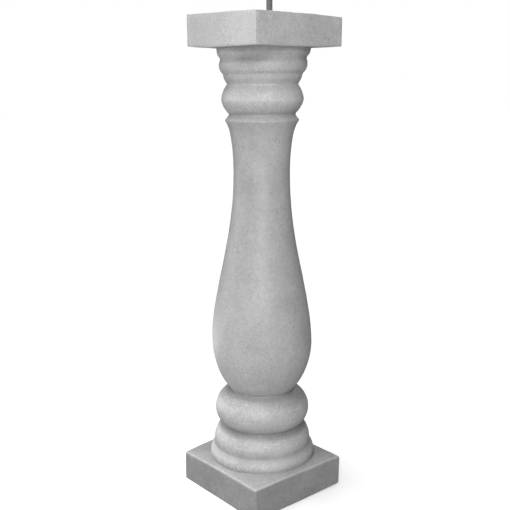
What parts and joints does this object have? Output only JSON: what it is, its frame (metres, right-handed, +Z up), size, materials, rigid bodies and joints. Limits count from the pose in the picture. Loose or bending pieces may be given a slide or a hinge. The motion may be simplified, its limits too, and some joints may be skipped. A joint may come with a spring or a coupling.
{
  "type": "baluster",
  "caption": "Cast cement baluster with a turned vase-shaped shaft between a square plinth and a square abacus, and a steel reinforcing bar standing out of the top.",
  "frame": {"origin": "centre of the square underside of the plinth, on the axis of the turned shaft", "axes": "+Z up along the axis of the shaft, +X and +Y square to the side faces of the plinth and the abacus"},
  "size_m": [0.16, 0.16, 0.7],
  "materials": {
    "cement": "bare cast cement with a fine matt face, arrises slightly eased and worn",
    "steel": "plain rolled bar, dull grey, not painted"
  },
  "bodies": {
    "root": {"baluster_casting": "cement", "reinforcing_bar": "steel"}
  },
  "joints": []
}
